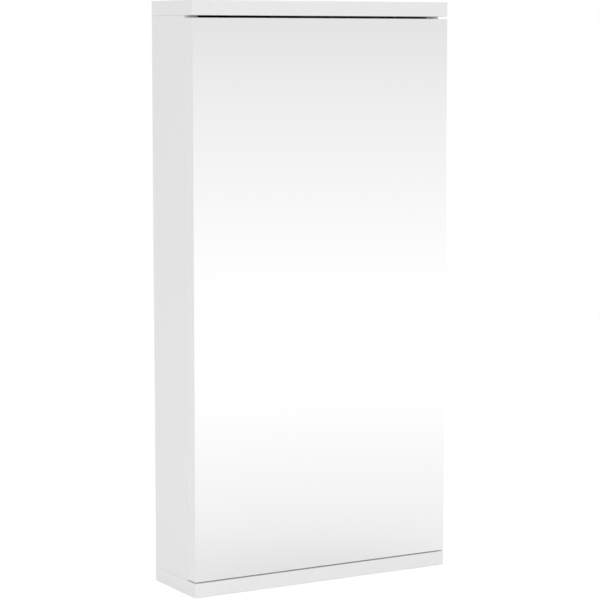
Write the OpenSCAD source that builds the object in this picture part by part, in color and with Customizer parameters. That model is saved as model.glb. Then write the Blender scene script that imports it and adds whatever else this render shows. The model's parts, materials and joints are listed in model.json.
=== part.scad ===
// Corner mirror cabinet. The closed front faces -Y, the corner of the room is at +Y, and the origin is
// at the middle of the base. One mirrored door is carried on the right by two concealed cup hinges.

/* [Cabinet] */
// Width of the front
cabinet_w = 300; // [270:1:400]
// Height of the cabinet
cabinet_h = 600; // [480:1:800]
// Depth of the straight sides, from the mirror's face to the 45 degree backs
side_d = 90; // [86:1:130]
// Thickness of the carcass boards
board_t = 15; // [15:1:19]
// Thickness of the plastic edge bands
band_t = 0.8; // [0.4:0.1:2]

/* [Door] */
// Thickness of the mirror glass
mirror_t = 4; // [3:1:6]
// Thickness of the board behind the mirror
door_board_t = 12; // [12:1:16]
// Slot between the door and the top panel
top_slot = 2.4; // [1.5:0.1:4]
// Slot between the door and the bottom panel
bottom_slot = 1.2; // [1:0.1:4]
// Gap between the closed door and the side panels
door_gap = 1.5; // [1.3:0.1:2.5]
// Width of the soft strip on the back of the door, which closes on the left side panel
strip_w = 10; // [6:1:14]
// Gap between the strip and the side panel
strip_play = 0.2; // [0.2:0.1:0.5]

/* [Shelves] */
// Thickness of the glass shelves
shelf_t = 5; // [4:1:8]
// Height of the lower shelf's underside
lower_shelf_z = 205; // [170:1:215]
// Height of the upper shelf's underside
upper_shelf_z = 395; // [385:1:400]
// Gap between a shelf and the walls round it
shelf_play = 1; // [0.5:0.1:2]
// Distance from the side panels' front edges back to a shelf's front edge
shelf_setback = 8; // [4:1:20]

/* [Shelf pins] */
// Diameter of the pin holes
pin_hole_d = 5; // [4:0.5:6]
// Depth of the pin holes
pin_hole_depth = 9; // [7:0.5:11]
// Distance between the holes of a row
pin_pitch = 32; // [20:1:32]
// Number of holes in a row
pin_row = 5; // [1:2:5]
// Diameter of the pin's peg, which carries the shelf
peg_d = 6; // [5:0.5:8]
// Length of the peg in front of its collar
peg_l = 7; // [5:0.5:10]
// Thickness of the pin's collar
collar_t = 1; // [0.6:0.1:1.6]
// Distance from the mirror's face to the rows in the side panels
side_pin_s = 50; // [35:1:70]
// Distance from a back panel's front corner to its row
back_pin_s = 150; // [120:1:160]

/* [Board joints] */
// Diameter of the cam locks
cam_d = 15; // [12:1:15]
// Depth of the cam locks' holes
cam_depth = 12.5; // [12:0.1:13]
// Distance from a board's end to the middle of its cam
cam_reach = 24; // [20:1:34]
// Distance from a side panel's front edge to its cam
side_cam_s = 20; // [18:1:24]
// Distance from a back panel's two ends to its cams
back_cam_s = 48; // [44:1:55]
// Diameter of the white caps over the cams
cap_d = 17; // [16:0.5:20]
// Thickness of the caps
cap_t = 0.9; // [0.6:0.1:1.5]
// Diameter of the cam bolts' threads
bolt_d = 5; // [4:0.5:6]
// Depth of the cam bolts' threads in the top and bottom panels
bolt_depth = 11; // [8:0.5:12]
// Diameter of the dowels
dowel_d = 8; // [6:1:8]
// Length of the dowels
dowel_l = 30; // [25:1:35]
// Depth of the dowel holes in the top and bottom panels
dowel_depth = 11; // [8:0.5:12]
// Distance from a side panel's rear end to its dowel
side_dowel_s = 18; // [16:1:20]

/* [Wall fixing] */
// Diameter of the fixing holes through the back panels
wall_hole_d = 5.5; // [4:0.5:8]
// Distance from the cabinet's ends to the fixing holes
wall_hole_inset = 100; // [60:1:120]

/* [Hinges] */
// Distance from the cabinet's ends to the middles of the hinges
hinge_inset = 80; // [75:1:110]
// Diameter of the hinge cup
cup_d = 35; // [35:0.5:36]
// Depth of the hinge cup in the door board
cup_depth = 10.5; // [10:0.1:11]
// Wall of the cup
cup_wall = 0.8; // [0.6:0.1:1]
// Thickness of the cup's flange
flange_t = 1; // [0.8:0.1:1.1]
// Half the distance between the cup's two screws
cup_screw_z = 24; // [22.5:0.5:26]
// Distance from the side panel's front edge to the mounting plate's screws
plate_s = 37; // [34:1:37]
// Half the distance between the mounting plate's two screws
plate_screw_z = 16; // [14:1:20]
// Diameter of the linkage's pins
pin_d = 2.2; // [1.8:0.1:2.2]
// Running clearance on the radius of a pin in a link
pin_play = 0.1; // [0.05:0.01:0.12]
// Thickness of the steel of the arm's cheeks
cheek_t = 1.4; // [1:0.1:1.4]
// Thickness of the steel of the arm's web
web_t = 1.5; // [1:0.1:2]

/* [Hidden] */
$fn = 48;

// Clearance on the radius of what is pressed or glued into a hole
fit = 0.05;
// Room at the end of a peg or dowel in its hole
end_play = 0.5;
// How far a cut runs past the face that it opens
past = 1;

// Plan of the carcass
cabinet_d = side_d + cabinet_w / 2;
front_y = -cabinet_d / 2;
shoulder_y = front_y + side_d;
apex_y = cabinet_d / 2;
back_l = cabinet_w / sqrt(2);
inner_h = cabinet_h - 2 * board_t;

// Door
door_t = mirror_t + door_board_t;
door_h = inner_h - top_slot - bottom_slot;
door_z = board_t + bottom_slot;
door_back_y = front_y + door_t;
side_front_s = door_t + door_gap;
strip_t = door_gap - strip_play;

// Places along the walls, from the front of a side and from the front corner of a back
side_cams = [side_front_s + side_cam_s];
side_dowels = [side_d - side_dowel_s];
back_cams = [back_cam_s, back_l - back_cam_s];
back_dowels = [back_l / 2];
dowel_end_depth = dowel_l - dowel_depth + 2 * end_play;

// Hinge linkage, in a plane seen from above: x from the side panel's inner face into the cabinet, y from
// the door's back face towards the room's corner. The pins of the arm and of the cup are given at rest.
outer_arm_pin = [4.8, 2.4];
outer_cup_pin = [-7.4, -4.7];
inner_arm_pin = [19, -1.7];
inner_cup_pin = [-3.2, -3.4];
// Rise of the arched outer link over the line between its pins
arch = 6.3;
link_t = 2.2;
eye_r = 2.1;
cup_eye_r = 1.8;
ear_r = 2.4;
// Room in the cup's walls for the inner links' free pins, which drift a little as the door turns
free_pin_d = 2;
free_pin_centre = inner_cup_pin + [-0.65, 0.5];
free_pin_room_r = free_pin_d / 2 + 1;
// Layers of the linkage across its middle plane, as half widths
outer_link_z = 2.2;
inner_link_t = 1.6;
layer_gap = 0.4;
inner_link_z = [outer_link_z + layer_gap, outer_link_z + layer_gap + inner_link_t];
cheek_z = [inner_link_z[1] + layer_gap, inner_link_z[1] + layer_gap + cheek_t];
pocket_play = 0.6;
pocket_z = cheek_z[1] + pocket_play;
pin_seat_l = 2;
cup_pin_z = pocket_z + pin_seat_l;

cup_x = 6.5;
cup_r = cup_d / 2;
cup_in_r = cup_r - cup_wall;
cup_floor_t = 1;
flange_r = cup_r + 1.5;
cup_screw_x = cup_x + 6;
cup_screw_l = 9;
plate_y = door_gap + plate_s;
plate_t = 2;
wing_r = 6.5;
ridge_half_z = inner_link_z[1];
ridge_half_y = 18;
plate_screw_l = 13;
arm_top_x = 12;
arm_low_x = 2.6;
knee_y = 18;
arm_overhang = 3;
arm_end_y = plate_y + ridge_half_y + arm_overhang;
adjuster_ahead = 12;
adjuster_y = plate_y - adjuster_ahead;
clamp_behind = 8;
clamp_y = plate_y + clamp_behind;

// Places children with x along the right side from the mirror's face, y inwards from its outer face.
module on_right_side() {
    translate([cabinet_w / 2, front_y, 0]) rotate(90) children();
}

// Places children with x along the right back from its front corner, y inwards from its outer face.
module on_right_back() {
    translate([cabinet_w / 2, shoulder_y, 0]) rotate(135) children();
}

module on_left_side() {
    mirror([1, 0, 0]) on_right_side() children();
}

module on_left_back() {
    mirror([1, 0, 0]) on_right_back() children();
}

module at_hinge(z) {
    translate([cabinet_w / 2 - board_t, door_back_y, z]) mirror([1, 0, 0]) children();
}

module upper_hinge() {
    at_hinge(cabinet_h - hinge_inset) children();
}

module lower_hinge() {
    at_hinge(hinge_inset) children();
}

// Children at both ends of a wall, with z = 0 at the wall's end and z pointing to its middle.
module both_ends() {
    translate([0, 0, board_t]) children();
    translate([0, 0, cabinet_h - board_t]) mirror([0, 0, 1]) children();
}

// A rod along +Z, +Y or +X from a point.
module rod_z(at, d, l) {
    translate(at) cylinder(d = d, h = l);
}

module rod_y(at, d, l) {
    translate(at) rotate([-90, 0, 0]) cylinder(d = d, h = l);
}

module rod_x(at, d, l) {
    translate(at) rotate([0, 90, 0]) cylinder(d = d, h = l);
}

// Cross recess of a screw head whose face is at z = 0 and whose shank points down.
module cross_recess(size) {
    for (turn = [0, 90]) rotate(turn) cube([size, size / 4, size / 2], center = true);
}

// Countersunk screw with its head's face at z = 0 and its point at z = -l.
module flat_screw(d, l) {
    head_d = 2 * d;
    head_h = d / 2;
    tip_h = d;
    difference() {
        union() {
            translate([0, 0, -head_h]) cylinder(d1 = d, d2 = head_d, h = head_h);
            translate([0, 0, tip_h - l]) cylinder(d = d, h = l - tip_h - head_h / 2);
            translate([0, 0, -l]) cylinder(d1 = 0.6, d2 = d, h = tip_h);
        }
        cross_recess(d);
    }
}

// Hole for a flat_screw, with room for its head.
module flat_screw_hole(d, l) {
    head_h = d / 2;
    translate([0, 0, -l - fit]) cylinder(d = d + 2 * fit, h = l + fit + past);
    translate([0, 0, -head_h - fit]) cylinder(d1 = d + 2 * fit, d2 = 2 * d + 4 * fit, h = head_h + 2 * fit);
}

// Carcass

// Five-sided plan of the cabinet, drawn in from its outline.
module plan(inset) {
    x = cabinet_w / 2 - inset;
    c = apex_y - inset * sqrt(2);
    y = front_y + inset;
    polygon([[-x, y], [x, y], [x, c - x], [0, c], [-x, c - x]]);
}

module wall_end_fasteners(cams, dowels) {
    both_ends() {
        for (s = cams) rod_z([s, board_t / 2, -bolt_depth], bolt_d, bolt_depth + past);
        for (s = dowels) rod_z([s, board_t / 2, -dowel_depth], dowel_d, dowel_depth + past);
    }
}

// Holes that the bolts and dowels need in the top and bottom panels.
module end_panel_holes() {
    on_left_side() wall_end_fasteners(side_cams, side_dowels);
    on_right_side() wall_end_fasteners(side_cams, side_dowels);
    on_left_back() wall_end_fasteners(back_cams, back_dowels);
    on_right_back() wall_end_fasteners(back_cams, back_dowels);
}

module end_panel(z) {
    color("white") difference() {
        translate([0, 0, z]) linear_extrude(board_t) plan(band_t);
        end_panel_holes();
    }
}

module top_panel() {
    end_panel(cabinet_h - board_t);
}

module bottom_panel() {
    end_panel(0);
}

module panel_edge_bands() {
    color("whitesmoke") for (z = [0, cabinet_h - board_t])
        translate([0, 0, z]) linear_extrude(board_t) difference() {
            plan(0);
            plan(band_t);
        }
}

// Holes for cams, bolts and dowels in the ends of a wall, and its rows of pin holes.
module wall_cuts(cams, dowels, pin_s) {
    both_ends() {
        for (s = cams) {
            rod_y([s, board_t - cam_depth, cam_reach], cam_d, cam_depth + past);
            rod_z([s, board_t / 2, -past], dowel_d, cam_reach + past);
        }
        for (s = dowels) rod_z([s, board_t / 2, -past], dowel_d, dowel_end_depth + past);
    }
    for (shelf_z = [lower_shelf_z, upper_shelf_z], i = [0:pin_row - 1])
        rod_y([pin_s, board_t - pin_hole_depth, pin_axis_z(shelf_z) + (i - (pin_row - 1) / 2) * pin_pitch],
            pin_hole_d, pin_hole_depth + past);
}

module side_board() {
    difference() {
        translate([side_front_s + band_t, 0, board_t])
            cube([side_d - side_front_s - band_t, board_t, inner_h]);
        wall_cuts(side_cams, side_dowels, side_pin_s);
    }
}

module left_side_panel() {
    color("white") on_left_side() side_board();
}

// The right side also takes the screws of the two mounting plates.
module right_side_panel() {
    color("white") difference() {
        on_right_side() side_board();
        upper_hinge() plate_screw_holes();
        lower_hinge() plate_screw_holes();
    }
}

module side_band() {
    translate([side_front_s, 0, board_t]) cube([band_t, board_t, inner_h]);
}

module side_edge_bands() {
    color("whitesmoke") {
        on_left_side() side_band();
        on_right_side() side_band();
    }
}

// A back panel, mitred to the side's rear end and cut square at the apex.
module back_board(l) {
    difference() {
        translate([0, 0, board_t]) linear_extrude(inner_h)
            polygon([[0, 0], [l, 0], [l, board_t], [board_t, board_t]]);
        wall_cuts(back_cams, back_dowels, back_pin_s);
        for (z = [wall_hole_inset, cabinet_h - wall_hole_inset])
            rod_y([back_l / 2, -past, z], wall_hole_d, board_t + 2 * past);
    }
}

module left_back_panel() {
    color("white") on_left_back() back_board(back_l);
}

// The right back butts against the left one's inner face.
module right_back_panel() {
    color("white") on_right_back() back_board(back_l - board_t);
}

// Board joints

// The drum, bored from the board's end to past its middle for the bolt's head.
module cam() {
    bore_d = dowel_d - 0.4;
    bore_past = 3;
    difference() {
        rod_y([0, board_t - cam_depth + fit, cam_reach], cam_d - 2 * fit, cam_depth - 2 * fit);
        rod_z([0, board_t / 2, cam_reach - cam_d], bore_d, cam_d + bore_past);
        translate([0, board_t, cam_reach]) rotate([-90, 0, 0]) cross_recess(cam_d / 2);
    }
}

// The bolt: a threaded foot, a shank, a neck and the head that the cam draws in.
module cam_bolt() {
    shank_d = bolt_d + 1;
    neck_d = bolt_d - 1.4;
    neck_l = 7;
    head_d = dowel_d - 1.6;
    head_l = 2.6;
    head_start = cam_reach - 1;
    rod_z([0, board_t / 2, fit - bolt_depth], bolt_d - 2 * fit, bolt_depth);
    rod_z([0, board_t / 2, 0], shank_d, cam_reach - neck_l + 1);
    rod_z([0, board_t / 2, cam_reach - neck_l], neck_d, neck_l);
    rod_z([0, board_t / 2, head_start], head_d, head_l);
}

module cam_cap() {
    translate([0, board_t, cam_reach]) rotate([-90, 0, 0])
        cylinder(d1 = cap_d, d2 = cap_d - cap_t, h = cap_t);
}

module dowel() {
    r = dowel_d / 2 - fit;
    bevel = 1;
    translate([0, board_t / 2, end_play - dowel_depth]) rotate_extrude()
        polygon([[0, 0], [r - bevel, 0], [r, bevel],
            [r, dowel_l - bevel], [r - bevel, dowel_l], [0, dowel_l]]);
}

// Children at every place of a list along the side walls and of another along the backs, at both ends.
module along_walls(side_places, back_places) {
    for (s = side_places) {
        on_left_side() both_ends() translate([s, 0, 0]) children();
        on_right_side() both_ends() translate([s, 0, 0]) children();
    }
    for (s = back_places) {
        on_left_back() both_ends() translate([s, 0, 0]) children();
        on_right_back() both_ends() translate([s, 0, 0]) children();
    }
}

module cam_locks() {
    color("silver") along_walls(side_cams, back_cams) cam();
}

module cam_bolts() {
    color("silver") along_walls(side_cams, back_cams) cam_bolt();
}

module cam_caps() {
    color("white") along_walls(side_cams, back_cams) cam_cap();
}

module dowels() {
    color("burlywood") along_walls(side_dowels, back_dowels) dowel();
}

// Shelves

// The pegs are flattened on top by this much, and the shelf rests on the flats.
peg_flat = 0.4;

function pin_axis_z(shelf_z) = shelf_z - peg_d / 2 + peg_flat;

module shelf(z) {
    gap = board_t + shelf_play;
    x = cabinet_w / 2 - gap;
    c = apex_y - gap * sqrt(2);
    y = front_y + side_front_s + shelf_setback;
    color("lightcyan", 0.5) translate([0, 0, z]) linear_extrude(shelf_t)
        polygon([[-x, y], [x, y], [x, c - x], [0, c], [-x, c - x]]);
}

module upper_shelf() {
    shelf(upper_shelf_z);
}

module lower_shelf() {
    shelf(lower_shelf_z);
}

module shelf_pin(s, shelf_z) {
    z = pin_axis_z(shelf_z);
    difference() {
        union() {
            rod_y([s, board_t - pin_hole_depth + end_play, z], pin_hole_d - 2 * fit, pin_hole_depth);
            rod_y([s, board_t, z], peg_d + 1, collar_t);
            rod_y([s, board_t, z], peg_d, collar_t + peg_l);
        }
        translate([s - peg_d, board_t - past, shelf_z]) cube([2 * peg_d, peg_l + collar_t + 2 * past, peg_d]);
    }
}

module shelf_pins(shelf_z) {
    color("silver") {
        on_left_side() shelf_pin(side_pin_s, shelf_z);
        on_right_side() shelf_pin(side_pin_s, shelf_z);
        on_left_back() shelf_pin(back_pin_s, shelf_z);
        on_right_back() shelf_pin(back_pin_s, shelf_z);
    }
}

module upper_shelf_pins() {
    shelf_pins(upper_shelf_z);
}

module lower_shelf_pins() {
    shelf_pins(lower_shelf_z);
}

// Door

module door_face(inset) {
    translate([inset - cabinet_w / 2, door_z + inset]) square([cabinet_w - 2 * inset, door_h - 2 * inset]);
}

// A door layer between two depths behind the mirror's face.
module door_layer(from, to) {
    translate([0, front_y + to, 0]) rotate([90, 0, 0]) linear_extrude(to - from) children();
}

module door_board() {
    color("white") difference() {
        door_layer(mirror_t, door_t) door_face(band_t);
        upper_hinge() cup_holes();
        lower_hinge() cup_holes();
    }
}

module door_edge_bands() {
    color("whitesmoke") door_layer(mirror_t, door_t) difference() {
        door_face(0);
        door_face(band_t);
    }
}

module mirror_glass() {
    color("lightsteelblue") door_layer(0, mirror_t) door_face(0);
}

// The strip fills the gap to the left side panel's front edge when the door is shut.
module door_strip() {
    color("gainsboro") translate([-cabinet_w / 2, door_back_y, door_z]) cube([strip_w, strip_t, door_h]);
}

// Hinge

// A bar with square ends between two points of the plane.
module bar(from, to, w) {
    d = to - from;
    translate(from) rotate(atan2(d[1], d[0])) translate([0, -w / 2]) square([norm(d), w]);
}

// The band of an arc that bulges to the right of the way from one point to another.
module arched_bar(from, to, rise, w) {
    d = to - from;
    half = norm(d) / 2;
    r = (half * half + rise * rise) / (2 * rise);
    side = [d[1], -d[0]] / norm(d);
    centre = (from + to) / 2 + side * (rise - r);
    far = 3 * r;
    difference() {
        translate(centre) circle(r + w / 2);
        translate(centre) circle(r - w / 2);
        polygon([centre, from + (from - centre) * far, from + (from - centre) * far - side * far * far,
            to + (to - centre) * far - side * far * far, to + (to - centre) * far]);
    }
}

module disc(at, r) {
    translate(at) circle(r);
}

// Extrudes a plan to both sides of the hinge's middle plane, between two distances from it.
module two_layers(z) {
    for (side = [0, 1]) mirror([0, 0, side]) translate([0, 0, z[0]]) linear_extrude(z[1] - z[0]) children();
}

module middle_layer(half_z) {
    translate([0, 0, -half_z]) linear_extrude(2 * half_z) children();
}

// Children drawn with their shank down the door's thickness at both screws of the cup.
module at_cup_screws() {
    for (z = [-cup_screw_z, cup_screw_z])
        translate([cup_screw_x, flange_t, z]) rotate([-90, 0, 0]) children();
}

// Children drawn with their shank down the side panel's thickness at both screws of the plate.
module at_plate_screws() {
    for (z = [-plate_screw_z, plate_screw_z]) translate([plate_t, plate_y, z]) rotate([0, 90, 0]) children();
}

cup_screw_d = 3;
plate_screw_d = 3.5;

module plate_screw_holes() {
    at_plate_screws() flat_screw_hole(plate_screw_d, plate_screw_l);
}

module cup_screw_holes() {
    at_cup_screws() flat_screw_hole(cup_screw_d, cup_screw_l);
}

module cup_holes() {
    rod_y([cup_x, -cup_depth, 0], cup_d, cup_depth + past);
    cup_screw_holes();
}

// The opening of the cup, a slot as wide as the arm with the cup's round ends.
module cup_pocket() {
    intersection() {
        rod_y([cup_x, cup_floor_t - cup_depth, 0], 2 * cup_in_r, cup_depth + flange_t + past);
        translate([-cup_d, -cup_depth, -pocket_z])
            cube([3 * cup_d, cup_depth + 2 * flange_t + past, 2 * pocket_z]);
    }
}

module hinge_cup() {
    ear_w = 11;
    color("silver") difference() {
        union() {
            rod_y([cup_x, fit - cup_depth, 0], cup_d - 2 * fit, cup_depth - fit);
            rod_y([cup_x, 0, 0], 2 * flange_r, flange_t);
            for (z = [-cup_screw_z, cup_screw_z]) rod_y([cup_screw_x, 0, z], ear_w, flange_t);
            translate([cup_screw_x - ear_w / 2, 0, -cup_screw_z]) cube([ear_w, flange_t, 2 * cup_screw_z]);
        }
        cup_pocket();
        cup_screw_holes();
        middle_layer(cup_pin_z) disc(outer_cup_pin, pin_d / 2 + fit);
        middle_layer(cup_pin_z) disc(free_pin_centre, free_pin_room_r);
    }
}

module hinge_cup_screws() {
    color("silver") at_cup_screws() flat_screw(cup_screw_d, cup_screw_l);
}

module hinge_cup_pin() {
    color("dimgray") middle_layer(cup_pin_z - fit) disc(outer_cup_pin, pin_d / 2);
}

// The arched link that carries the door, on a pin of the arm and a pin of the cup.
module hinge_outer_link() {
    color("silver") middle_layer(outer_link_z) difference() {
        union() {
            arched_bar(outer_cup_pin, outer_arm_pin, arch, link_t);
            disc(outer_cup_pin, eye_r);
            disc(outer_arm_pin, eye_r);
        }
        disc(outer_cup_pin, pin_d / 2 + pin_play);
        disc(outer_arm_pin, pin_d / 2 + pin_play);
    }
}

// The two straight links beside it, with their own free pins in the cup's walls.
module hinge_inner_links() {
    color("silver") {
        two_layers(inner_link_z) difference() {
            union() {
                bar(inner_cup_pin, inner_arm_pin, link_t);
                disc(inner_cup_pin, cup_eye_r);
                disc(inner_arm_pin, eye_r);
            }
            disc(inner_arm_pin, pin_d / 2 + pin_play);
        }
        two_layers([inner_link_z[1], cup_pin_z - layer_gap]) disc(inner_cup_pin, free_pin_d / 2);
    }
}

function right_of(from, to, r) = let (d = to - from) from + r * [d[1], -d[0]] / norm(d);

module arm_cheek() {
    top_knee = [arm_top_x, knee_y];
    low_knee = [arm_low_x, knee_y];
    difference() {
        union() {
            bar(inner_arm_pin, outer_arm_pin, 2 * ear_r);
            disc(inner_arm_pin, ear_r);
            disc(outer_arm_pin, ear_r);
            polygon([right_of(inner_arm_pin, top_knee, ear_r), top_knee, low_knee,
                right_of(outer_arm_pin, low_knee, -ear_r), outer_arm_pin, inner_arm_pin]);
            translate(low_knee) square([arm_top_x - arm_low_x, arm_end_y - knee_y]);
        }
        disc(outer_arm_pin, pin_d / 2 + fit);
        disc(inner_arm_pin, pin_d / 2 + fit);
    }
}

// The web that joins the cheeks, level over the plate and sloping up to the nose.
module arm_web() {
    top_knee = [arm_top_x, knee_y];
    nose_back = 3.6;
    slope = (inner_arm_pin - top_knee) / norm(inner_arm_pin - top_knee);
    nose = right_of(inner_arm_pin, top_knee, ear_r) - nose_back * slope;
    under = [-slope[1], slope[0]] * -web_t;
    translate([arm_top_x - web_t, knee_y]) square([web_t, arm_end_y - knee_y]);
    polygon([top_knee, nose, nose + under, top_knee - [web_t, 0]]);
}

adjuster_d = 5;
clamp_d = 5;
recess_w = 4;

module hinge_arm() {
    slot_l = 4;
    color("silver") difference() {
        union() {
            two_layers(cheek_z) arm_cheek();
            middle_layer(cheek_z[1]) arm_web();
        }
        rod_x([0, adjuster_y, 0], adjuster_d + 2 * fit, 2 * arm_top_x);
        for (y = [clamp_y, clamp_y + slot_l]) rod_x([0, y, 0], clamp_d + 2 * fit, 2 * arm_top_x);
        translate([0, clamp_y, -clamp_d / 2 - fit]) cube([2 * arm_top_x, slot_l, clamp_d + 2 * fit]);
    }
}

// The outer link's pin runs through both cheeks, and the inner links have a stub in each cheek.
module hinge_arm_pins() {
    proud = 0.3;
    color("dimgray") {
        middle_layer(cheek_z[1] + proud) disc(outer_arm_pin, pin_d / 2);
        two_layers([inner_link_z[0], cheek_z[1] + proud]) disc(inner_arm_pin, pin_d / 2);
    }
}

module hinge_plate() {
    screw_depth = 7;
    ridge_x = arm_top_x - web_t;
    color("silver") difference() {
        union() {
            for (z = [-plate_screw_z, plate_screw_z]) rod_x([0, plate_y, z], 2 * wing_r, plate_t);
            translate([0, plate_y - wing_r, -plate_screw_z]) cube([plate_t, 2 * wing_r, 2 * plate_screw_z]);
            translate([0, plate_y - ridge_half_y, -ridge_half_z])
                cube([ridge_x, 2 * ridge_half_y, 2 * ridge_half_z]);
        }
        plate_screw_holes();
        rod_x([ridge_x - screw_depth, adjuster_y, 0], adjuster_d + 2 * fit, screw_depth + past);
        rod_x([ridge_x - screw_depth, clamp_y, 0], clamp_d + 2 * fit, screw_depth + past);
    }
}

module hinge_plate_screws() {
    color("silver") at_plate_screws() flat_screw(plate_screw_d, plate_screw_l);
}

// The side adjuster sits level with the web, and the clamp screw has a flat head on it.
module hinge_adjusters() {
    screw_depth = 6.5;
    head_h = 2.2;
    ridge_x = arm_top_x - web_t;
    color("silver") difference() {
        union() {
            rod_x([ridge_x - screw_depth, adjuster_y, 0], adjuster_d, screw_depth + web_t);
            rod_x([ridge_x - screw_depth, clamp_y, 0], clamp_d, screw_depth + web_t);
            rod_x([arm_top_x, clamp_y, 0], clamp_d + 3, head_h);
        }
        translate([arm_top_x, adjuster_y, 0]) rotate([0, 90, 0]) cross_recess(recess_w);
        translate([arm_top_x + head_h, clamp_y, 0]) rotate([0, 90, 0]) cross_recess(recess_w);
    }
}

module upper_hinge_cup() { upper_hinge() hinge_cup(); }
module upper_hinge_cup_screws() { upper_hinge() hinge_cup_screws(); }
module upper_hinge_cup_pin() { upper_hinge() hinge_cup_pin(); }
module upper_hinge_outer_link() { upper_hinge() hinge_outer_link(); }
module upper_hinge_inner_links() { upper_hinge() hinge_inner_links(); }
module upper_hinge_arm() { upper_hinge() hinge_arm(); }
module upper_hinge_arm_pins() { upper_hinge() hinge_arm_pins(); }
module upper_hinge_plate() { upper_hinge() hinge_plate(); }
module upper_hinge_plate_screws() { upper_hinge() hinge_plate_screws(); }
module upper_hinge_adjusters() { upper_hinge() hinge_adjusters(); }
module lower_hinge_cup() { lower_hinge() hinge_cup(); }
module lower_hinge_cup_screws() { lower_hinge() hinge_cup_screws(); }
module lower_hinge_cup_pin() { lower_hinge() hinge_cup_pin(); }
module lower_hinge_outer_link() { lower_hinge() hinge_outer_link(); }
module lower_hinge_inner_links() { lower_hinge() hinge_inner_links(); }
module lower_hinge_arm() { lower_hinge() hinge_arm(); }
module lower_hinge_arm_pins() { lower_hinge() hinge_arm_pins(); }
module lower_hinge_plate() { lower_hinge() hinge_plate(); }
module lower_hinge_plate_screws() { lower_hinge() hinge_plate_screws(); }
module lower_hinge_adjusters() { lower_hinge() hinge_adjusters(); }

top_panel();
bottom_panel();
left_side_panel();
right_side_panel();
left_back_panel();
right_back_panel();
panel_edge_bands();
side_edge_bands();
door_board();
door_edge_bands();
mirror_glass();
door_strip();
upper_shelf();
lower_shelf();
upper_shelf_pins();
lower_shelf_pins();
cam_locks();
cam_bolts();
cam_caps();
dowels();
upper_hinge_cup();
upper_hinge_cup_screws();
upper_hinge_cup_pin();
upper_hinge_outer_link();
upper_hinge_inner_links();
upper_hinge_arm();
upper_hinge_arm_pins();
upper_hinge_plate();
upper_hinge_plate_screws();
upper_hinge_adjusters();
lower_hinge_cup();
lower_hinge_cup_screws();
lower_hinge_cup_pin();
lower_hinge_outer_link();
lower_hinge_inner_links();
lower_hinge_arm();
lower_hinge_arm_pins();
lower_hinge_plate();
lower_hinge_plate_screws();
lower_hinge_adjusters();
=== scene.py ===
import json
import math

import bmesh
import bpy
import numpy as np
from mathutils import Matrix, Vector
from mathutils.bvhtree import BVHTree

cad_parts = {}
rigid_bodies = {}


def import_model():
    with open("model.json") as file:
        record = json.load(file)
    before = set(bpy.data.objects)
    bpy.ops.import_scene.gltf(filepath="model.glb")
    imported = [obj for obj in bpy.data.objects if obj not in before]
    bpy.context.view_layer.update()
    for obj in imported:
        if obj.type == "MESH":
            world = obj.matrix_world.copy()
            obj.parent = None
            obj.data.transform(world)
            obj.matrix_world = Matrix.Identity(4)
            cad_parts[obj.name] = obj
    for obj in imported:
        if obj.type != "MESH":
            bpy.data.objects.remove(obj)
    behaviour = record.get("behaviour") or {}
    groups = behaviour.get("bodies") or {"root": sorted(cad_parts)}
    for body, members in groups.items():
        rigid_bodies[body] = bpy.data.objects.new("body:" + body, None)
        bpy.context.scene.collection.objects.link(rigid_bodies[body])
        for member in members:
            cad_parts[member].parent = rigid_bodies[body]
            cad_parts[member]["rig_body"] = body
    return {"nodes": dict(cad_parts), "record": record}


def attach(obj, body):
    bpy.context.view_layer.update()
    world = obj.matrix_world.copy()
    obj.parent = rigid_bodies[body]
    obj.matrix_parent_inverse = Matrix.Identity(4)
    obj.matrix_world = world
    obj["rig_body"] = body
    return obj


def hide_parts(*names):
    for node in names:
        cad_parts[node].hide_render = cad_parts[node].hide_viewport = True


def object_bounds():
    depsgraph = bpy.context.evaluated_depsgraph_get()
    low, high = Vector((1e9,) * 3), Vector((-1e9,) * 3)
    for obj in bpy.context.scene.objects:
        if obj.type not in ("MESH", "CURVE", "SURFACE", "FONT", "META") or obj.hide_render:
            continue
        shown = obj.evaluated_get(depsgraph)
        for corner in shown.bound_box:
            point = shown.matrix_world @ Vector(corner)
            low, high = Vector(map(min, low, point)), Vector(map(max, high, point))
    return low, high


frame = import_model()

CAD_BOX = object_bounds()
MM = 0.001
# Places of a colour Mix node's two colours among its inputs, and of its result among its outputs
MIX_FIRST, MIX_SECOND, MIX_RESULT = 6, 7, 2


# Helpers

def linear(hex_colour):
    """An sRGB hex colour as linear red, green, blue and alpha."""
    parts = [int(hex_colour[i:i + 2], 16) / 255 for i in (1, 3, 5)]
    return [c / 12.92 if c <= 0.04045 else ((c + 0.055) / 1.055) ** 2.4 for c in parts] + [1.0]


def add(tree, kind, settings=(), links=()):
    """Adds a node. Its settings are its own properties or unlinked inputs, and its links are inputs that
    other sockets feed."""
    node = tree.nodes.new(kind)
    for name, value in dict(settings).items():
        if isinstance(name, str) and hasattr(node, name):
            setattr(node, name, value)
        else:
            node.inputs[name].default_value = value
    for name, socket in dict(links).items():
        tree.links.new(socket, node.inputs[name])
    return node


def new_material(name, **shader):
    """A material with one Principled shader, whose uniform values sit on its own sockets. A value that a
    pattern varies is linked over what its socket holds."""
    material = bpy.data.materials.new(name)
    material.use_nodes = True
    tree = material.node_tree
    tree.nodes.clear()
    values = {key: linear(value) if isinstance(value, str) else value for key, value in shader.items()}
    principled = add(tree, "ShaderNodeBsdfPrincipled", values)
    output = add(tree, "ShaderNodeOutputMaterial", links={"Surface": principled.outputs["BSDF"]})
    return material, tree, principled, output


def mm_scale(size):
    """The Scale of a texture on Object coordinates whose features are size millimetres wide."""
    return 1 / (size * MM)


# Finishes

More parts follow.
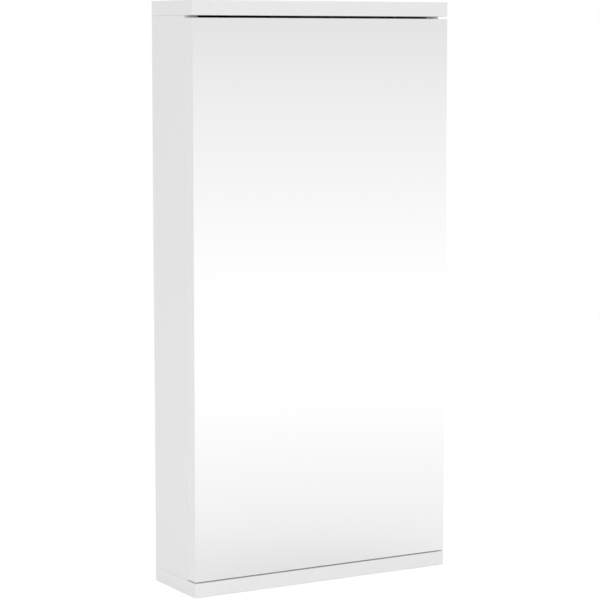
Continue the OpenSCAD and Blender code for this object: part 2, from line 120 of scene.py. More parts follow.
def melamine():
    """Melamine-faced chipboard: white decor paper pressed onto the board. It is satin, and the press plate
    leaves a soft pearl grain. The real grain is near 0.4 mm, too fine to show, so it is drawn 1.6 mm wide."""
    material, tree, shader, _ = new_material(
        "melamine_faced_board", **{"Base Color": "#EEEEEE", "Roughness": 0.42})
    place = add(tree, "ShaderNodeTexCoord")
    grain = add(tree, "ShaderNodeTexNoise", {"Scale": mm_scale(1.6), "Detail": 2.0, "Roughness": 0.5},
                {"Vector": place.outputs["Object"]})
    relief = add(tree, "ShaderNodeBump", {"Strength": 0.35, "Distance": 0.02 * MM},
                 {"Height": grain.outputs["Fac"]})
    gloss = add(tree, "ShaderNodeMapRange", {"To Min": 0.38, "To Max": 0.47}, {"Value": grain.outputs["Fac"]})
    tree.links.new(relief.outputs["Normal"], shader.inputs["Normal"])
    tree.links.new(gloss.outputs["Result"], shader.inputs["Roughness"])
    return material


def chipboard():
    """Raw chipboard, where the board is drilled or cut: pressed wood chips 2 to 4 mm long, matt and
    mottled."""
    material, tree, shader, _ = new_material("raw_chipboard", **{"Roughness": 0.9})
    place = add(tree, "ShaderNodeTexCoord")
    stretch = add(tree, "ShaderNodeMapping", {"Scale": (1.0, 1.0, 2.2)}, {"Vector": place.outputs["Object"]})
    chips = add(tree, "ShaderNodeTexVoronoi", {"Scale": mm_scale(2.6), "Randomness": 1.0},
                {"Vector": stretch.outputs["Vector"]})
    shade = add(tree, "ShaderNodeSeparateColor", links={"Color": chips.outputs["Color"]})
    tone = add(tree, "ShaderNodeMix",
               {"data_type": "RGBA", MIX_FIRST: linear("#9C7A50"), MIX_SECOND: linear("#D6BA8C")},
               {"Factor": shade.outputs["Red"]})
    relief = add(tree, "ShaderNodeBump", {"Strength": 0.6, "Distance": 0.15 * MM},
                 {"Height": chips.outputs["Distance"]})
    tree.links.new(tone.outputs[MIX_RESULT], shader.inputs["Base Color"])
    tree.links.new(relief.outputs["Normal"], shader.inputs["Normal"])
    return material


def edging():
    """ABS edging: extruded and scraped flush, a shade smoother than the board. The scraper leaves faint
    ripples, 3 mm apart."""
    material, tree, shader, _ = new_material("abs_edging", **{"Base Color": "#EEEEEE", "Roughness": 0.34})
    place = add(tree, "ShaderNodeTexCoord")
    ripples = add(tree, "ShaderNodeTexNoise", {"Scale": mm_scale(3.0), "Detail": 1.0},
                  {"Vector": place.outputs["Object"]})
    relief = add(tree, "ShaderNodeBump", {"Strength": 0.3, "Distance": 0.01 * MM},
                 {"Height": ripples.outputs["Fac"]})
    tree.links.new(relief.outputs["Normal"], shader.inputs["Normal"])
    return material


def silvered():
    """Silvered float glass: an even, neutral reflection with the flatness of float glass, so no waves."""
    return new_material(
        "silvered_float_glass", **{"Base Color": "#F8F8F8", "Metallic": 1.0, "Roughness": 0.0})[0]


def ground_edge():
    """The mirror's edge, seamed with a diamond wheel: pale and frosted. The grit's lines are too fine to
    show, so they are drawn 0.5 mm apart."""
    material, tree, shader, _ = new_material(
        "seamed_glass_edge", **{"Base Color": "#ECECEC", "Roughness": 0.3})
    place = add(tree, "ShaderNodeTexCoord")
    grit = add(tree, "ShaderNodeTexNoise", {"Scale": mm_scale(0.5), "Detail": 1.0},
               {"Vector": place.outputs["Object"]})
    relief = add(tree, "ShaderNodeBump", {"Strength": 0.4, "Distance": 0.01 * MM},
                 {"Height": grit.outputs["Fac"]})
    tree.links.new(relief.outputs["Normal"], shader.inputs["Normal"])
    return material


def mirror_paint():
    """The two coats of protective paint on the back of the silver: matt warm grey."""
    return new_material("mirror_backing_paint", **{"Base Color": "#8E8A84", "Roughness": 0.7})[0]


def float_glass():
    """Clear float glass for the shelves: the iron in it tints what is seen through it a faint green."""
    material, tree, _, output = new_material("clear_float_glass", **{
        "Base Color": "#FBFDFC", "Roughness": 0.0, "IOR": 1.52, "Transmission Weight": 1.0})
    tint = add(tree, "ShaderNodeVolumeAbsorption", {"Color": linear("#B9E3CF"), "Density": 6.0})
    tree.links.new(tint.outputs["Volume"], output.inputs["Volume"])
    return material


def shelf_edge():
    """The shelves' ground edges: the wheel leaves them frosted, and they glow in mottled greens with the
    glass behind. The grit's lines are too fine to show, so they are drawn 0.6 mm apart."""
    material, tree, shader, _ = new_material("ground_shelf_edge", **{
        "Base Color": "#A8CFC0", "Roughness": 0.28, "Transmission Weight": 0.35, "IOR": 1.52})
    place = add(tree, "ShaderNodeTexCoord")
    grit = add(tree, "ShaderNodeTexNoise", {"Scale": mm_scale(0.6), "Detail": 2.0},
               {"Vector": place.outputs["Object"]})
    tone = add(tree, "ShaderNodeMix",
               {"data_type": "RGBA", MIX_FIRST: linear("#97C4B3"), MIX_SECOND: linear("#BCDCD0")},
               {"Factor": grit.outputs["Fac"]})
    relief = add(tree, "ShaderNodeBump", {"Strength": 0.4, "Distance": 0.01 * MM},
                 {"Height": grit.outputs["Fac"]})
    tree.links.new(tone.outputs[MIX_RESULT], shader.inputs["Base Color"])
    tree.links.new(relief.outputs["Normal"], shader.inputs["Normal"])
    return material


def silicone():
    """Extruded white silicone: soft, waxy and slightly matt. Light spreads 1 mm in it, all colours alike."""
    return new_material("extruded_silicone", **{
        "Base Color": "#ECECEA", "Roughness": 0.48, "Subsurface Weight": 0.08, "Subsurface Scale": 1.0 * MM,
        "Subsurface Radius": (1.0, 1.0, 1.0)})[0]


def nickel():
    """Nickel plate over pressed steel: bright and slightly warm, with the press's faint unevenness, 2 mm
    across."""
    material, tree, shader, _ = new_material(
        "nickel_plated_steel", **{"Base Color": "#DEDBD6", "Metallic": 1.0, "Roughness": 0.24})
    place = add(tree, "ShaderNodeTexCoord")
    cloud = add(tree, "ShaderNodeTexNoise", {"Scale": mm_scale(2.0), "Detail": 3.0},
                {"Vector": place.outputs["Object"]})
    relief = add(tree, "ShaderNodeBump", {"Strength": 0.5, "Distance": 0.02 * MM},
                 {"Height": cloud.outputs["Fac"]})
    gloss = add(tree, "ShaderNodeMapRange", {"To Min": 0.17, "To Max": 0.33}, {"Value": cloud.outputs["Fac"]})
    tree.links.new(relief.outputs["Normal"], shader.inputs["Normal"])
    tree.links.new(gloss.outputs["Result"], shader.inputs["Roughness"])
    return material


def zinc():
    """Zinc die casting, tumbled: grey and dull, with a skin of pits about 0.6 mm across."""
    material, tree, shader, _ = new_material(
        "zinc_die_casting", **{"Base Color": "#A7A9AC", "Metallic": 1.0, "Roughness": 0.42})
    place = add(tree, "ShaderNodeTexCoord")
    pits = add(tree, "ShaderNodeTexNoise", {"Scale": mm_scale(0.6), "Detail": 3.0},
               {"Vector": place.outputs["Object"]})
    relief = add(tree, "ShaderNodeBump", {"Strength": 0.5, "Distance": 0.03 * MM},
                 {"Height": pits.outputs["Fac"]})
    gloss = add(tree, "ShaderNodeMapRange", {"To Min": 0.34, "To Max": 0.55}, {"Value": pits.outputs["Fac"]})
    tree.links.new(relief.outputs["Normal"], shader.inputs["Normal"])
    tree.links.new(gloss.outputs["Result"], shader.inputs["Roughness"])
    return material


def hardened_steel():
    """Hardened and ground steel pins: darker than the plate round them, with a fine ground sheen."""
    return new_material("ground_steel", **{"Base Color": "#7F7C78", "Metallic": 1.0, "Roughness": 0.28})[0]


def polypropylene():
    """Moulded polypropylene caps: white, faintly waxy, as light spreads half a millimetre in it."""
    return new_material("moulded_polypropylene", **{
        "Base Color": "#EDEDEB", "Roughness": 0.45, "Subsurface Weight": 0.05, "Subsurface Scale": 0.5 * MM,
        "Subsurface Radius": (1.0, 1.0, 1.0)})[0]


def beech():
    """Turned beech: straight grain along the dowel in two tones, with growth lines about 1.5 mm apart."""
    material, tree, shader, _ = new_material("turned_beech", **{"Roughness": 0.62})
    place = add(tree, "ShaderNodeTexCoord")
    along = add(tree, "ShaderNodeMapping", {"Scale": (1.0, 1.0, 0.06)}, {"Vector": place.outputs["Object"]})
    grain = add(tree, "ShaderNodeTexNoise", {"Scale": mm_scale(1.5), "Detail": 4.0},
                {"Vector": along.outputs["Vector"]})
    tone = add(tree, "ShaderNodeMix",
               {"data_type": "RGBA", MIX_FIRST: linear("#C49A6C"), MIX_SECOND: linear("#E0BE94")},
               {"Factor": grain.outputs["Fac"]})
    relief = add(tree, "ShaderNodeBump", {"Strength": 0.4, "Distance": 0.05 * MM},
                 {"Height": grain.outputs["Fac"]})
    tree.links.new(tone.outputs[MIX_RESULT], shader.inputs["Base Color"])
    tree.links.new(relief.outputs["Normal"], shader.inputs["Normal"])
    return material


MELAMINE, CHIPBOARD, EDGING = melamine(), chipboard(), edging()
SILVERED, GROUND_EDGE, MIRROR_PAINT = silvered(), ground_edge(), mirror_paint()
FLOAT_GLASS, SHELF_EDGE = float_glass(), shelf_edge()
SILICONE, POLYPROPYLENE, BEECH = silicone(), polypropylene(), beech()
NICKEL, ZINC, HARDENED_STEEL = nickel(), zinc(), hardened_steel()
FINISHES = {
    "melamine_board": MELAMINE, "edge_band": EDGING, "mirror_glass": SILVERED, "shelf_glass": FLOAT_GLASS,
    "white_silicone": SILICONE, "nickel_steel": NICKEL, "zinc_alloy": ZINC, "dark_steel": HARDENED_STEEL,
    "white_plastic": POLYPROPYLENE, "beech": BEECH,
}
SLOTS = {row["node"]: row["material_slot"] for row in frame["record"]["subparts"]}
for name, slot in SLOTS.items():
    node = frame["nodes"][name]
    node.data.materials.clear()
    node.data.materials.append(FINISHES[slot])


# Pieces cut from the CAD solids

# Corners this close are one corner, and faces within this angle of each other are one flat face.
WELD = 0.002 * MM
FLAT = math.radians(0.4)
# How far a solid may reach in front of a face that still counts as its outside
LEVEL = 0.02 * MM
# How close a band lies to its board along the glue line
GLUED = 0.05 * MM
# Edges that bend by more than this are arrises, which are eased.
ARRIS_BEND = math.radians(30)
# Edges that bend by more than this stay crisp in the shading.
CRISP_BEND = math.radians(35)
# How much a large face outweighs its rounded edges when their shading is evened, of 100
FACE_PULL = 60
# Rounding of the boards' free arrises, in millimetres, as sanding leaves them
BOARD_ARRIS = 0.25


def welded(name):
    """A CAD node's mesh as a bmesh, with its loose triangles joined and its flat faces made whole."""
    shape = bmesh.new()
    shape.from_mesh(frame["nodes"][name].data)
    shape.edges.layers.float.new("bevel_weight_edge")
    bmesh.ops.remove_doubles(shape, verts=shape.verts, dist=WELD)
    bmesh.ops.dissolve_limit(shape, angle_limit=FLAT, use_dissolve_boundaries=False,
                             verts=shape.verts, edges=shape.edges)
    shape.normal_update()
    return shape


def solids(shape):
    """The vertices of each separate solid of a bmesh."""
    found, seen = [], set()
    for start in shape.verts:
        if start in seen:
            continue
        seen.add(start)
        group = [start]
        # The group grows while it is walked, until nothing linked to it is left.
        for vert in group:
            linked = [edge.other_vert(vert) for edge in vert.link_edges]
            fresh = [other for other in linked if other not in seen]
            seen.update(fresh)
            group += fresh
        found.append(group)
    return found


def outer_faces(shape):
    """The faces that have their whole solid behind them. What is left are the walls of holes and hollows."""
    found = set()
    for group in solids(shape):
        corners = np.array([v.co for v in group], float)
        for face in {f for v in group for f in v.link_faces}:
            ahead = (corners - np.array(face.calc_center_median(), float)) @ np.array(face.normal, float)
            if ahead.max() < LEVEL:
                found.add(face)
    return found


def sharp_edges(shape):
    """The arrises of a bmesh."""
    return [e for e in shape.edges if len(e.link_faces) == 2 and e.calc_face_angle(0) > ARRIS_BEND]


def off_the_glue_line(edges, *nodes):
    """The edges that don't lie on the CAD nodes named, where band and board are trimmed flush and stay
    sharp."""
    glued = [BVHTree.FromBMesh(welded(node)) for node in nodes]
    return [e for e in edges
            if not any(tree.find_nearest((e.verts[0].co + e.verts[1].co) / 2, GLUED)[0] for tree in glued)]


def settle(piece, node):
    """Makes a piece's modifiers real, and lets it ride and take its finish as the CAD node does that it
    replaces."""
    bpy.context.view_layer.update()
    depsgraph = bpy.context.evaluated_depsgraph_get()
    mesh = bpy.data.meshes.new_from_object(piece.evaluated_get(depsgraph), preserve_all_data_layers=True,
                                           depsgraph=depsgraph)
    mesh.name = piece.name
    piece.modifiers.clear()
    piece.data = mesh
    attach(piece, frame["nodes"][node]["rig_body"])
    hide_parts(node)


def finished(node, name, shape, materials, edges=(), radius=0.0, segments=2):
    """Rounds the chosen edges of a bmesh by radius millimetres and stands the result in for the CAD node."""
    weights = shape.edges.layers.float["bevel_weight_edge"]
    for edge in edges:
        edge[weights] = 1.0
    mesh = bpy.data.meshes.new(name)
    shape.to_mesh(mesh)
    shape.free()
    for material in materials:
        mesh.materials.append(material)
    mesh.shade_smooth()
    mesh.set_sharp_from_angle(angle=CRISP_BEND)
    piece = bpy.data.objects.new(name, mesh)
    bpy.context.scene.collection.objects.link(piece)
    rounding = piece.modifiers.new("rounding", "BEVEL")
    rounding.limit_method = "WEIGHT"
    rounding.width = radius * MM
    rounding.segments = segments
    rounding.use_clamp_overlap = True
    evening = piece.modifiers.new("even_normals", "WEIGHTED_NORMAL")
    evening.keep_sharp = True
    evening.weight = FACE_PULL
    settle(piece, node)


def board(node, name, bands=()):
    """A board with its free arrises eased, and raw chipboard showing in its holes."""
    shape = welded(node)
    outside = outer_faces(shape)
    for face in shape.faces:
        face.material_index = 0 if face in outside else 1
    arrises = [e for e in sharp_edges(shape) if all(f in outside for f in e.link_faces)]
    finished(node, name, shape, [MELAMINE, CHIPBOARD], off_the_glue_line(arrises, *bands), BOARD_ARRIS)


def banding(node, name, boards, radius):
    """Edge bands, rounded only along their outer edges, where the trimmer runs."""
    shape = welded(node)
    outer = off_the_glue_line(sharp_edges(shape), *boards)
    finished(node, name, shape, [EDGING], outer, radius, segments=3)


def eased(node, name, radius):
    """A part with all its sharp edges rounded."""
    shape = welded(node)
    finished(node, name, shape, [FINISHES[SLOTS[node]]], sharp_edges(shape), radius)


# Turned parts, by Geometry Nodes

def turned_tree():
    """A tree that turns a profile round Z and puts the part at every marked place. The object's own mesh
    holds both: the profile's points with their radius in turned_radius, and loose points marked is_place with
    their direction in toward. Flutes is a count of grooves along the part, and a thread is a ridge wound
    round it."""
    tree = bpy.data.node_groups.new("turned_part", "GeometryNodeTree")
    tree.interface.new_socket("Geometry", in_out="INPUT", socket_type="NodeSocketGeometry")
    tree.interface.new_socket("Geometry", in_out="OUTPUT", socket_type="NodeSocketGeometry")
    for label, kind, value in (
            ("Segments", "NodeSocketInt", 32), ("Flutes", "NodeSocketInt", 0),
            ("Flute Depth", "NodeSocketFloat", 0.0), ("Thread Radius", "NodeSocketFloat", 0.001),
            ("Thread Height", "NodeSocketFloat", 0.0), ("Thread Start", "NodeSocketFloat", 0.0),
            ("Thread Length", "NodeSocketFloat", 0.01), ("Turns", "NodeSocketFloat", 1.0)):
        tree.interface.new_socket(label, in_out="INPUT", socket_type=kind).default_value = value
    tree.interface.new_socket("Finish", in_out="INPUT", socket_type="NodeSocketMaterial")
    sizes = add(tree, "NodeGroupInput").outputs
    is_place = add(tree, "GeometryNodeInputNamedAttribute", {"data_type": "BOOLEAN", "Name": "is_place"})
    parts = add(tree, "GeometryNodeSeparateGeometry", {"domain": "POINT"},
                {"Geometry": sizes["Geometry"], "Selection": is_place.outputs["Attribute"]})

    line = add(tree, "GeometryNodeMeshToCurve", links={"Mesh": parts.outputs["Inverted"]})
    radius = add(tree, "GeometryNodeInputNamedAttribute", {"data_type": "FLOAT", "Name": "turned_radius"})
    ring = add(tree, "GeometryNodeCurvePrimitiveCircle", {"Radius": 1.0}, {"Resolution": sizes["Segments"]})
    # The flutes: each point of the ring is drawn in as the cosine of flutes times its angle says.
    share = add(tree, "GeometryNodeSplineParameter")
    turn = add(tree, "ShaderNodeMath", {"operation": "MULTIPLY", 1: 2 * math.pi},
               {0: share.outputs["Factor"]})
    wave = add(tree, "ShaderNodeMath", {"operation": "MULTIPLY"}, {0: turn.outputs[0], 1: sizes["Flutes"]})
    cosine = add(tree, "ShaderNodeMath", {"operation": "COSINE"}, {0: wave.outputs[0]})
    half = add(tree, "ShaderNodeMath", {"operation": "MULTIPLY_ADD", 1: -0.5, 2: 0.5}, {0: cosine.outputs[0]})
    dip = add(tree, "ShaderNodeMath", {"operation": "MULTIPLY"},
              {0: half.outputs[0], 1: sizes["Flute Depth"]})
    inward = add(tree, "ShaderNodeMath", {"operation": "SUBTRACT", 0: 1.0}, {1: dip.outputs[0]})
    place = add(tree, "GeometryNodeInputPosition")
    drawn_in = add(tree, "ShaderNodeVectorMath", {"operation": "SCALE"},
                   {0: place.outputs[0], "Scale": inward.outputs[0]})
    fluted = add(tree, "GeometryNodeSetPosition",
                 links={"Geometry": ring.outputs["Curve"], "Position": drawn_in.outputs[0]})
    body = add(tree, "GeometryNodeCurveToMesh", {"Fill Caps": True},
               {"Curve": line.outputs["Curve"], "Profile Curve": fluted.outputs["Geometry"],
                "Scale": radius.outputs["Attribute"]})

    coil = add(tree, "GeometryNodeCurveSpiral", {"Resolution": 20},
               {"Rotations": sizes["Turns"], "Start Radius": sizes["Thread Radius"],
                "End Radius": sizes["Thread Radius"], "Height": sizes["Thread Length"]})
    start = add(tree, "ShaderNodeCombineXYZ", links={"Z": sizes["Thread Start"]})
    lifted = add(tree, "GeometryNodeSetPosition",
                 links={"Geometry": coil.outputs["Curve"], "Offset": start.outputs["Vector"]})
    ridge = add(tree, "GeometryNodeCurvePrimitiveCircle", {"Resolution": 3},
                {"Radius": sizes["Thread Height"]})
    thread = add(tree, "GeometryNodeCurveToMesh", {"Fill Caps": True},
                 {"Curve": lifted.outputs["Geometry"], "Profile Curve": ridge.outputs["Curve"]})
    threaded = add(tree, "FunctionNodeCompare", {"operation": "GREATER_THAN", "B": 0.0},
                   {"A": sizes["Thread Height"]})
    choice = add(tree, "GeometryNodeSwitch", {"input_type": "GEOMETRY"},
                 {"Switch": threaded.outputs["Result"], "True": thread.outputs["Mesh"]})
    whole = add(tree, "GeometryNodeJoinGeometry", links={"Geometry": body.outputs["Mesh"]})
    tree.links.new(choice.outputs["Output"], whole.inputs["Geometry"])

    toward = add(tree, "GeometryNodeInputNamedAttribute", {"data_type": "FLOAT_VECTOR", "Name": "toward"})
    turned_to = add(tree, "FunctionNodeAlignRotationToVector", {"axis": "Z"},
                    {"Vector": toward.outputs["Attribute"]})
    spots = add(tree, "GeometryNodeMeshToPoints", links={"Mesh": parts.outputs["Selection"]})
    set_out = add(tree, "GeometryNodeInstanceOnPoints",
                  links={"Points": spots.outputs["Points"], "Instance": whole.outputs["Geometry"],
                         "Rotation": turned_to.outputs["Rotation"]})
    real = add(tree, "GeometryNodeRealizeInstances", links={"Geometry": set_out.outputs["Instances"]})
    finish = add(tree, "GeometryNodeSetMaterial",
                 links={"Geometry": real.outputs["Geometry"], "Material": sizes["Finish"]})
    add(tree, "NodeGroupOutput", links={"Geometry": finish.outputs["Geometry"]})
    return tree


TURNED = turned_tree()
MARKS = {"turned_radius": "FLOAT", "is_place": "BOOLEAN", "toward": "FLOAT_VECTOR"}
# Points of a turned part this close are one point.
CLOSE = 0.001 * MM


def solid_corners(name):
    """The corners of each separate solid of a CAD node."""
    shape = welded(name)
    found = [np.array([v.co for v in group], float) for group in solids(shape)]
    shape.free()
    return found


def marked_mesh(name, profile, places):
    """The mesh that the tree reads: the profile as a line up Z, and a loose point at each place."""
    mesh = bpy.data.meshes.new(name)
    count = len(profile)
    mesh.from_pydata([(0, 0, z * MM) for z, _ in profile] + [tuple(at) for at, _ in places],
                     [(i, i + 1) for i in range(count - 1)], [])
    for label, kind in MARKS.items():
        mesh.attributes.new(label, kind, "POINT")
    for i, (_, radius) in enumerate(profile):
        mesh.attributes["turned_radius"].data[i].value = radius * MM
    for i, (_, direction) in enumerate(places):
        mesh.attributes["is_place"].data[count + i].value = True
        mesh.attributes["toward"].data[count + i].vector = direction
    return mesh


def turned(node, name, profile, places, **sizes):
    """Replaces a CAD node by turned parts. profile is a list of height and radius in millimetres, and each
    place is a point in metres and the direction of the part's own Z there."""
    piece = bpy.data.objects.new(name, marked_mesh(name, profile, places))
    bpy.context.scene.collection.objects.link(piece)
    maker = piece.modifiers.new("turned_part", "NODES")
    maker.node_group = TURNED
    keys = {item.name: item.identifier for item in TURNED.interface.items_tree
            if item.item_type == "SOCKET" and item.in_out == "INPUT"}
    maker[keys["Finish"]] = FINISHES[SLOTS[node]]
    for label, value in sizes.items():
        maker[keys[label.replace("_", " ").title()]] = value
    settle(piece, node)
    mesh = piece.data
    # The tree adds the finish behind an empty slot.
    while mesh.materials[0] is None:
        mesh.materials.pop(index=0)
    shape = bmesh.new()
    shape.from_mesh(mesh)
    bmesh.ops.remove_doubles(shape, verts=shape.verts, dist=CLOSE)
    bmesh.ops.recalc_face_normals(shape, faces=shape.faces)
    shape.to_mesh(mesh)
    shape.free()
    for label in MARKS:
        if label in mesh.attributes:
            mesh.attributes.remove(mesh.attributes[label])
    mesh.shade_smooth()
    mesh.set_sharp_from_angle(angle=CRISP_BEND)


# The cabinet

for side in ("left", "right"):
    board(f"{side}_side_panel", f"{side}_side_board", ["side_edge_bands"])
    board(f"{side}_back_panel", f"{side}_back_board")
board("top_panel", "top_board", ["panel_edge_bands"])
board("bottom_panel", "bottom_board", ["panel_edge_bands"])
banding("panel_edge_bands", "panel_edging", ["top_panel", "bottom_panel"], radius=0.6)
banding("side_edge_bands", "side_edging", ["left_side_panel", "right_side_panel"], radius=0.35)


# The door

board("door_board", "door_core", ["door_edge_bands"])
banding("door_edge_bands", "door_edging", ["door_board"], radius=0.3)
eased("door_strip", "closing_strip", radius=0.3)


# Faces whose normal has this much of an axis look along it.
SQUARE_ON = 0.99
# The flat arris that the wheel leaves on the mirror
SEAM = 0.3 * MM


def mirror_pane():
    """The mirror: a silvered face inside a seamed arris, ground edges, and backing paint behind."""
    shape = welded("mirror_glass")
    bmesh.ops.bevel(shape, geom=sharp_edges(shape), offset=SEAM, segments=1, affect="EDGES",
                    clamp_overlap=True)
    shape.normal_update()
    for face in shape.faces:
        if face.normal.y < -SQUARE_ON:
            face.material_index = 0
        elif face.normal.y > SQUARE_ON:
            face.material_index = 2
        else:
            face.material_index = 1
    finished("mirror_glass", "mirror_pane", shape, [SILVERED, GROUND_EDGE, MIRROR_PAINT])


mirror_pane()


# Shelves

def glass_shelf(level):
    """A clear pane with frosted ground edges and small arrises."""
    shape = welded(f"{level}_shelf")
    for face in shape.faces:
        face.material_index = 0 if abs(face.normal.z) > SQUARE_ON else 1
    finished(f"{level}_shelf", f"{level}_glass_shelf", shape, [FLOAT_GLASS, SHELF_EDGE], sharp_edges(shape),
             radius=0.5)


for level in ("upper", "lower"):
    glass_shelf(level)
    eased(f"{level}_shelf_pins", f"{level}_shelf_pegs", radius=0.4)


# Board fittings

# A line up the middle of the cabinet's room, which every cap faces
ROOM_MIDDLE = (0.0, -0.03)

# Turned profiles: height and radius in millimetres
# Caps over the cams: a flat disc with a soft, faintly domed edge.
CAP_PROFILE = [(0, 8.45), (0.25, 8.5), (0.5, 8.42), (0.7, 8.2), (0.8, 7.8), (0.85, 7.0), (0.89, 4.0),
               (0.9, 0.02)]
# Cam bolts: a threaded foot in the panel, a shank, a neck and a round head, which the cam draws in.
BOLT_PROFILE = [(0.05, 1.0), (1.0, 2.05), (10.6, 2.05), (10.61, 2.95), (28.5, 2.95), (28.8, 2.7),
                (29.0, 1.8), (33.5, 1.8), (33.9, 2.7), (34.2, 3.1), (35.4, 3.1), (36.4, 2.3), (36.6, 0.2)]
# Dowels: a rod with chamfered ends.
DOWEL_PROFILE = [(0, 2.9), (0.02, 2.95), (1.0, 3.92), (29.0, 3.92), (29.98, 2.95), (30, 2.9)]


def upright_places(node):
    """The middle of each upright solid's outer end, and the direction to the cabinet's middle height."""
    places = []
    for corners in solid_corners(node):
        low, high = corners.min(0), corners.max(0)
        up = (low[2] + high[2]) / 2 < CAD_BOX[1].z / 2
        places.append((Vector(((low[0] + high[0]) / 2, (low[1] + high[1]) / 2, low[2] if up else high[2])),
                       Vector((0, 0, 1 if up else -1))))
    return places


def cap_places():
    """Each cap's middle on its panel, and the direction into the room of the cabinet."""
    places = []
    for corners in solid_corners("cam_caps"):
        middle = corners.mean(0)
        # The corners spread least along the cap's own axis.
        axis = np.linalg.svd(corners - middle)[2][2]
        inward = np.array([*ROOM_MIDDLE, middle[2]]) - middle
        normal = axis if axis @ inward > 0 else -axis
        places.append((Vector(middle + normal * ((corners - middle) @ normal).min()), Vector(normal)))
    return places


turned("cam_caps", "cover_caps", CAP_PROFILE, cap_places(), segments=40)
# The thread's turns lie 2 mm apart on the bolt's foot.
turned("cam_bolts", "cam_bolt_rods", BOLT_PROFILE, upright_places("cam_bolts"), segments=24,
       thread_radius=1.98 * MM, thread_height=0.44 * MM, thread_start=1.3 * MM, thread_length=8.6 * MM,
       turns=4.3)
# The flutes are pressed in, and their depth is a share of the dowel's radius.
turned("dowels", "fluted_dowels", DOWEL_PROFILE, upright_places("dowels"), segments=72, flutes=18,
       flute_depth=0.09)
eased("cam_locks", "cam_drums", radius=0.3)


# Hinges

# Rounding of each part's edges, in millimetres
HINGE_ARRISES = {"cup": 0.35, "cup_screws": 0.15, "cup_pin": 0.15, "outer_link": 0.3, "inner_links": 0.25,
                 "arm": 0.3, "arm_pins": 0.2, "plate": 0.35, "plate_screws": 0.15, "adjusters": 0.25}
for level in ("upper", "lower"):
    for part, arris in HINGE_ARRISES.items():
        eased(f"{level}_hinge_{part}", f"{level}_{part}", arris)


# Stage

# Half the width of the floor paper
PAPER_REACH = 12.0
# How far out the paper thins to nothing, so that it has no edge against the backdrop
PAPER_FADE = (1.2, 2.6)
# The paper's glow as the camera sees it, which makes it white
PAPER_TO_CAMERA = 0.30
# The paper's glow as the mirror, the metal and the glass see it, at a distance from the cabinet's middle. It
# is dimmer near the cabinet: painted shade, standing in for the shade the cabinet casts on the floor round
# it.
PAPER_TO_MIRROR_PAINTED_SHADE = (0.093, 0.231)
PAPER_PAINTED_SHADE_AT = (0.27, 1.3)
# Strength of the world as light on the object
WORLD_LIGHT = 0.775
# The backdrop as the mirror, the metal and the glass see it: its strength, and its level at each height of
# a ray, where -1 is straight down and 1 straight up. The level falls towards the horizon, so that the mirror
# shades softly.
BACKDROP = 1.1
BACKDROP_LEVELS = [(-0.2, 0.985), (-0.1236, 0.98), (-0.1, 0.955), (-0.077, 0.915), (-0.0484, 0.866),
                   (-0.0254, 0.827), (-0.0025, 0.773), (0.009, 0.75), (0.1, 0.70), (0.45, 0.48), (0.75, 0.72),
                   (1.0, 0.9)]
WHITE = linear("#FFFFFF")
# The camera's lens in millimetres on a sensor 36 mm wide, its place, and its tilt and turn in degrees
LENS = 134.8
CAMERA_PLACE = (-1.1665, -2.0967, 0.5604)
CAMERA_DOWN = 6.592
CAMERA_TURN = -29.938


def floor_paper():
    """Pale paper that keeps the shadow, and thins out far from the cabinet. To the mirror, the metal and the
    glass it glows less near the cabinet: painted shade round the cabinet's base.
    """
    material = bpy.data.materials.new("floor_paper")
    material.use_nodes = True
    tree = material.node_tree
    tree.nodes.clear()
    path = add(tree, "ShaderNodeLightPath")
    mirrored = add(tree, "ShaderNodeMath", {"operation": "MAXIMUM"},
                   {0: path.outputs["Is Glossy Ray"], 1: path.outputs["Is Transmission Ray"]})
    place = add(tree, "ShaderNodeTexCoord")
    radius = add(tree, "ShaderNodeVectorMath", {"operation": "LENGTH"}, {0: place.outputs["Object"]})
    # The glow to glossy rays is least near the cabinet and grows outward: painted shade round the cabinet's
    # base.
    level = add(tree, "ShaderNodeMapRange",
                {"From Min": PAPER_PAINTED_SHADE_AT[0], "From Max": PAPER_PAINTED_SHADE_AT[1],
                 "To Min": PAPER_TO_MIRROR_PAINTED_SHADE[0], "To Max": PAPER_TO_MIRROR_PAINTED_SHADE[1]},
                {"Value": radius.outputs["Value"]})
    to_mirror_painted_shade = add(tree, "ShaderNodeMath", {"operation": "MULTIPLY"},
                    {0: mirrored.outputs[0], 1: level.outputs["Result"]})
    strength = add(tree, "ShaderNodeMath", {"operation": "MULTIPLY_ADD", 1: PAPER_TO_CAMERA},
                   {0: path.outputs["Is Camera Ray"], 2: to_mirror_painted_shade.outputs[0]})
    diffuse = add(tree, "ShaderNodeBsdfDiffuse", {"Color": linear("#F4F4F4")})
    glow = add(tree, "ShaderNodeEmission", {"Color": WHITE}, {"Strength": strength.outputs[0]})
    both = add(tree, "ShaderNodeAddShader", links={0: diffuse.outputs[0], 1: glow.outputs[0]})
    fade = add(tree, "ShaderNodeMapRange",
               {"interpolation_type": "SMOOTHSTEP", "From Min": PAPER_FADE[0], "From Max": PAPER_FADE[1]},
               {"Value": radius.outputs["Value"]})
    clear = add(tree, "ShaderNodeBsdfTransparent")
    mix = add(tree, "ShaderNodeMixShader",
              links={0: fade.outputs["Result"], 1: both.outputs[0], 2: clear.outputs[0]})
    add(tree, "ShaderNodeOutputMaterial", links={"Surface": mix.outputs[0]})
    return material


def floor():
    """A flat sheet of paper under the cabinet."""
    reach = PAPER_REACH
    mesh = bpy.data.meshes.new("floor")
    mesh.from_pydata([(-reach, -reach, 0), (reach, -reach, 0), (reach, reach, 0), (-reach, reach, 0)], [],
                     [(0, 1, 2, 3)])
    mesh.materials.append(floor_paper())
    plane = bpy.data.objects.new("floor", mesh)
    bpy.context.scene.collection.objects.link(plane)


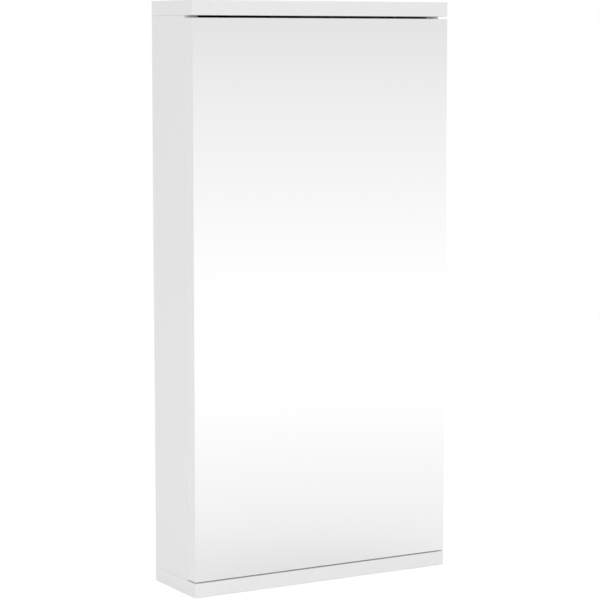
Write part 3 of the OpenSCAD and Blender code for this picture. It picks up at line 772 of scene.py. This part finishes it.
def world():
    """White to the camera, a plain level for light, and to glossy rays a backdrop that dims towards the
    horizon."""
    studio = bpy.data.worlds.new("studio")
    bpy.context.scene.world = studio
    studio.use_nodes = True
    tree = studio.node_tree
    tree.nodes.clear()
    direction = add(tree, "ShaderNodeTexCoord")
    height = add(tree, "ShaderNodeSeparateXYZ", links={0: direction.outputs["Generated"]})
    lowest, highest = BACKDROP_LEVELS[0][0], BACKDROP_LEVELS[-1][0]
    span = add(tree, "ShaderNodeMapRange", {"From Min": lowest, "From Max": highest},
               {"Value": height.outputs["Z"]})
    ramp = add(tree, "ShaderNodeValToRGB", links={"Fac": span.outputs["Result"]})
    elements = ramp.color_ramp.elements
    while len(elements) < len(BACKDROP_LEVELS):
        elements.new(0.5)
    for element, (z, level) in zip(elements, BACKDROP_LEVELS):
        element.position = (z - lowest) / (highest - lowest)
        element.color = (level, level, level, 1)
    path = add(tree, "ShaderNodeLightPath")
    mirrored = add(tree, "ShaderNodeMath", {"operation": "MAXIMUM"},
                   {0: path.outputs["Is Glossy Ray"], 1: path.outputs["Is Transmission Ray"]})
    light = add(tree, "ShaderNodeBackground", {"Color": WHITE, "Strength": WORLD_LIGHT})
    reflected = add(tree, "ShaderNodeBackground", {"Strength": BACKDROP}, {"Color": ramp.outputs["Color"]})
    white = add(tree, "ShaderNodeBackground", {"Color": WHITE, "Strength": 1.0})
    off_camera = add(tree, "ShaderNodeMixShader",
                     links={0: mirrored.outputs[0], 1: light.outputs[0], 2: reflected.outputs[0]})
    every_ray = add(tree, "ShaderNodeMixShader",
                    links={0: path.outputs["Is Camera Ray"], 1: off_camera.outputs[0], 2: white.outputs[0]})
    add(tree, "ShaderNodeOutputWorld", links={"Surface": every_ray.outputs[0]})


def softbox(name, place, aim, size, watts, spread=180):
    """A soft lamp. The mirror would show it as a hard white box, so glossy rays pass it by."""
    light = bpy.data.lights.new(name, "AREA")
    light.shape = "RECTANGLE"
    light.size, light.size_y = size
    light.energy = watts
    light.spread = math.radians(spread)
    lamp = bpy.data.objects.new(name, light)
    bpy.context.scene.collection.objects.link(lamp)
    lamp.location = place
    lamp.rotation_euler = (Vector(aim) - Vector(place)).to_track_quat("-Z", "Y").to_euler()
    lamp.visible_glossy = False


def camera():
    """The photograph's view."""
    lens = bpy.data.cameras.new("camera")
    lens.sensor_width = 36.0
    lens.lens = LENS
    viewer = bpy.data.objects.new("camera", lens)
    bpy.context.scene.collection.objects.link(viewer)
    viewer.location = CAMERA_PLACE
    viewer.rotation_euler = (math.radians(90 - CAMERA_DOWN), 0, math.radians(CAMERA_TURN))
    bpy.context.scene.camera = viewer


floor()
world()
softbox("key_softbox", place=(-1.8, -2.8, 0.75), aim=(0, 0, 0.1), size=(2.0, 1.2), watts=16)
softbox("fill_softbox", place=(2.6, -2.0, 1.0), aim=(0, 0, 0.1), size=(1.6, 1.2), watts=4)
softbox("top_softbox", place=(0.2, 0.3, 3.2), aim=(0, 0, 0), size=(2.2, 2.2), watts=14)
# A low strip behind a honeycomb evens out the plinth, which the floor keeps a little darker.
softbox("low_strip", place=(-1.3, -1.9, 0.25), aim=(-0.05, -0.12, -0.22), size=(0.9, 0.3), watts=0.16,
        spread=34)
camera()
bpy.context.scene.view_settings.view_transform = "Standard"
